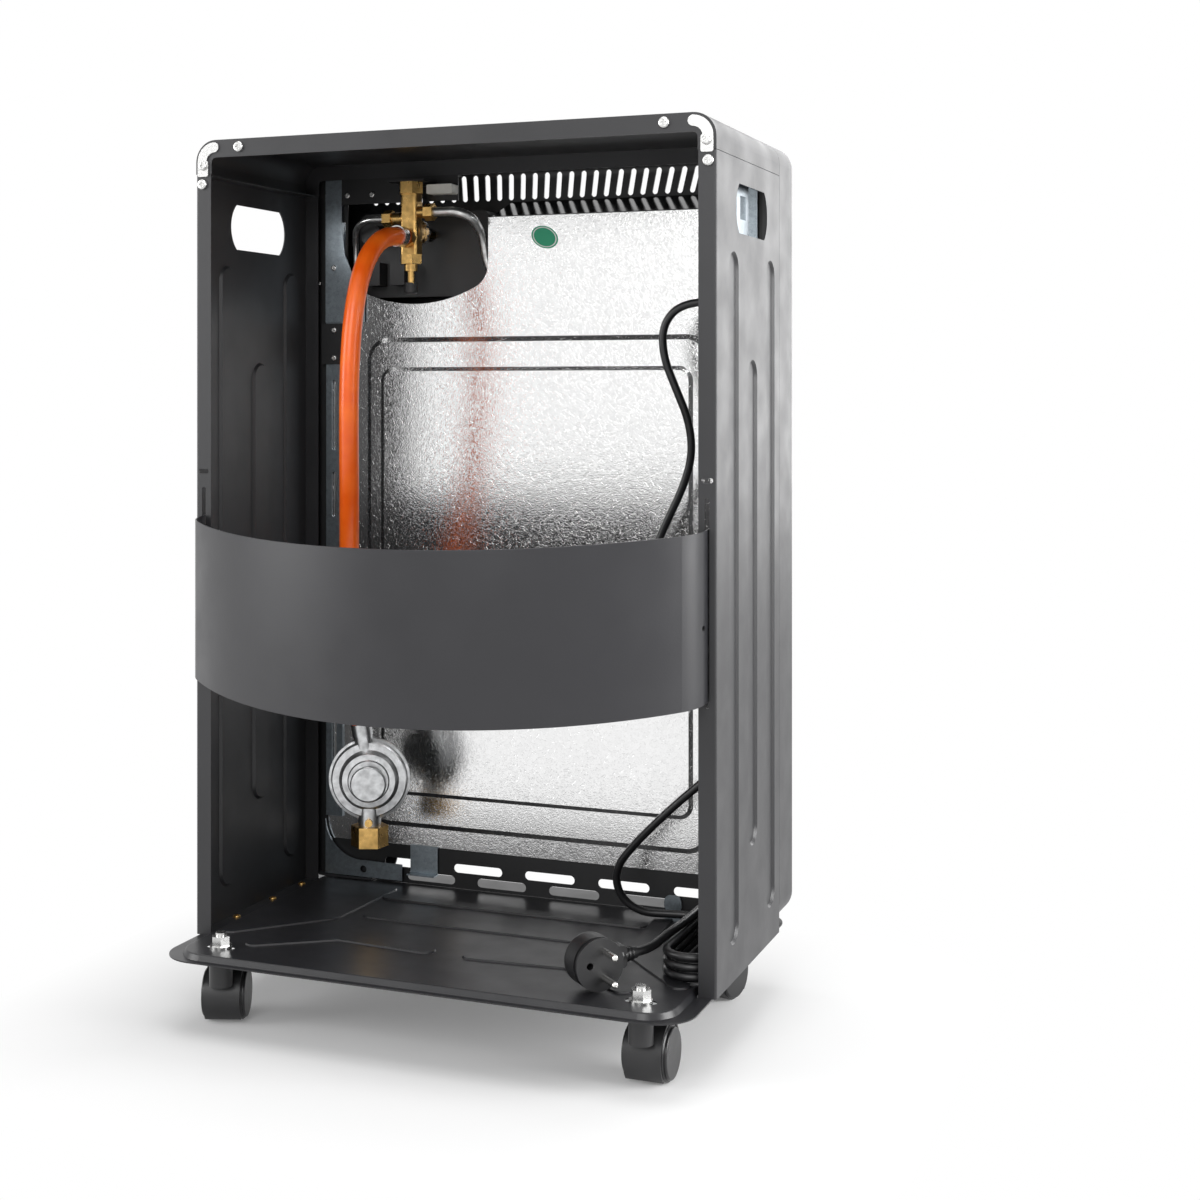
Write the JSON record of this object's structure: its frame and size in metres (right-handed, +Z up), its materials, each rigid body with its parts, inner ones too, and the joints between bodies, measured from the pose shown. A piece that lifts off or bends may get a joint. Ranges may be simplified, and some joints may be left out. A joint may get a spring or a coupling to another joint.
{
  "type": "mobile gas cabinet heater",
  "caption": "Charcoal mobile cabinet heater, open at the back, with bottle band, orange hose, regulator, mains lead, burner guard and twin-wheel castors.",
  "frame": {"origin": "on the floor under the middle of the object's bounding box", "axes": "+Z up, -Y to the front with the burner, +Y to the open back with the bottle bay, +X to the right of someone in front"},
  "size_m": [0.43, 0.3472, 0.691],
  "materials": {
    "charcoal_paint": "semi_gloss",
    "black_paint": "satin",
    "band_paint": "satin",
    "gloss_black_sheet": "gloss",
    "galvanised": "satin",
    "galvanised_dark": "satin",
    "zinc": "satin",
    "chrome_wire": "gloss",
    "polished": "gloss",
    "brass": "satin",
    "pipe_aluminium": "satin",
    "die_cast": "satin",
    "hose_rubber": "satin",
    "black_plastic": "matte",
    "wheel_plastic": "satin",
    "cord_plastic": "satin",
    "gloss_plastic": "gloss",
    "red_plastic": "gloss",
    "ceramic": "matte",
    "white_plastic": "matte",
    "green_print": "gloss",
    "quartz": "gloss"
  },
  "bodies": {
    "cabinet": {"base_tray": "black_paint", "right_side_panel": "charcoal_paint", "left_side_panel": "charcoal_paint", "top_shell": "charcoal_paint", "corner_brackets": "zinc", "screws": "zinc", "tray_rivets": "brass", "front_frame": "charcoal_paint", "inner_frame": "black_paint", "heat_shield": "galvanised", "shield_columns": "galvanised_dark", "column_plates": "black_paint", "galvanised_brackets": "galvanised_dark", "air_deflector": "gloss_black_sheet", "control_pocket": "black_plastic", "switch_bodies": "black_plastic", "gas_valve_body": "brass", "valve_fittings": "brass", "magnet_unit": "brass", "magnet_cap": "black_plastic", "valve_bracket": "black_paint", "ceramic_block": "white_plastic", "gas_pipes": "pipe_aluminium", "burner_box": "galvanised", "ceramic_plaques": "ceramic", "reflector": "polished", "quartz_tubes": "quartz", "pilot_assembly": "zinc", "wire_guard": "chrome_wire", "castor_studs": "zinc", "gas_hose": "hose_rubber", "hose_clamps": "zinc", "regulator_body": "die_cast", "regulator_cap": "gloss_plastic", "regulator_collar": "brass", "regulator_nut": "brass", "junction_box": "black_plastic", "cord_gland": "black_plastic", "power_cord": "cord_plastic", "cord_hank": "cord_plastic", "cord_tie": "black_plastic", "plug_cord": "cord_plastic", "sticker": "green_print", "plug_body": "black_plastic", "plug_pins": "chrome_wire"},
    "castor_rear_left": {"castor_rear_left_housing": "black_plastic"},
    "wheels_rear_left": {"castor_rear_left_wheels": "wheel_plastic"},
    "castor_rear_right": {"castor_rear_right_housing": "black_plastic"},
    "wheels_rear_right": {"castor_rear_right_wheels": "wheel_plastic"},
    "castor_front_left": {"castor_front_left_housing": "black_plastic"},
    "wheels_front_left": {"castor_front_left_wheels": "wheel_plastic"},
    "castor_front_right": {"castor_front_right_housing": "black_plastic"},
    "wheels_front_right": {"castor_front_right_wheels": "wheel_plastic"},
    "band": {"bottle_band": "band_paint"},
    "cam": {"cam_disc": "zinc"},
    "knob": {"control_knob": "black_plastic", "knob_spindle": "brass"},
    "igniter": {"igniter_button": "gloss_plastic"},
    "rocker_left": {"rocker_left": "red_plastic"},
    "rocker_right": {"rocker_right": "red_plastic"}
  },
  "joints": [
    {"name": "castor_rear_left_swivel", "type": "hinge", "parent": "cabinet", "child": "castor_rear_left", "pos_m": [-0.1704, 0.10265, 0.05], "axis": [0, 0, 1], "continuous": true},
    {"name": "castor_rear_left_roll", "type": "hinge", "parent": "castor_rear_left", "child": "wheels_rear_left", "pos_m": [-0.1704, 0.07865, 0.02], "axis": [1, 0, 0], "continuous": true},
    {"name": "castor_rear_right_swivel", "type": "hinge", "parent": "cabinet", "child": "castor_rear_right", "pos_m": [0.1704, 0.10265, 0.05], "axis": [0, 0, 1], "continuous": true},
    {"name": "castor_rear_right_roll", "type": "hinge", "parent": "castor_rear_right", "child": "wheels_rear_right", "pos_m": [0.17861, 0.0801, 0.02], "axis": [0.9397, 0.342, 0], "continuous": true},
    {"name": "castor_front_left_swivel", "type": "hinge", "parent": "cabinet", "child": "castor_front_left", "pos_m": [-0.1704, -0.13935, 0.05], "axis": [0, 0, 1], "continuous": true},
    {"name": "castor_front_left_roll", "type": "hinge", "parent": "castor_front_left", "child": "wheels_front_left", "pos_m": [-0.16419, -0.11617, 0.02], "axis": [-0.9659, 0.2588, 0], "continuous": true},
    {"name": "castor_front_right_swivel", "type": "hinge", "parent": "cabinet", "child": "castor_front_right", "pos_m": [0.1704, -0.13935, 0.05], "axis": [0, 0, 1], "continuous": true},
    {"name": "castor_front_right_roll", "type": "hinge", "parent": "castor_front_right", "child": "wheels_front_right", "pos_m": [0.1584, -0.11857, 0.02], "axis": [-0.866, -0.5, 0], "continuous": true},
    {"name": "bottle_band_lift", "type": "slide", "parent": "cabinet", "child": "band", "axis": [0, 0, 1], "range_m": [0, 0.016]},
    {"name": "knob_turn", "type": "hinge", "parent": "cabinet", "child": "cam", "pos_m": [0.103, -0.11135, 0.628], "axis": [0, 1, 0], "range_deg": [0, 200]},
    {"name": "knob_push", "type": "slide", "parent": "cam", "child": "knob", "axis": [0, 1, 0], "range_m": [0, 0.005], "stiffness_N_per_m": 900, "springref_m": -0.002},
    {"name": "igniter_push", "type": "slide", "parent": "cabinet", "child": "igniter", "axis": [0, 1, 0], "range_m": [0, 0.006], "stiffness_N_per_m": 800, "springref_m": -0.003},
    {"name": "rocker_left_tip", "type": "hinge", "parent": "cabinet", "child": "rocker_left", "pos_m": [0.128, -0.13435, 0.594], "axis": [1, 0, 0], "range_deg": [0, 8]},
    {"name": "rocker_right_tip", "type": "hinge", "parent": "cabinet", "child": "rocker_right", "pos_m": [0.152, -0.13435, 0.594], "axis": [1, 0, 0], "range_deg": [0, 8]}
  ]
}
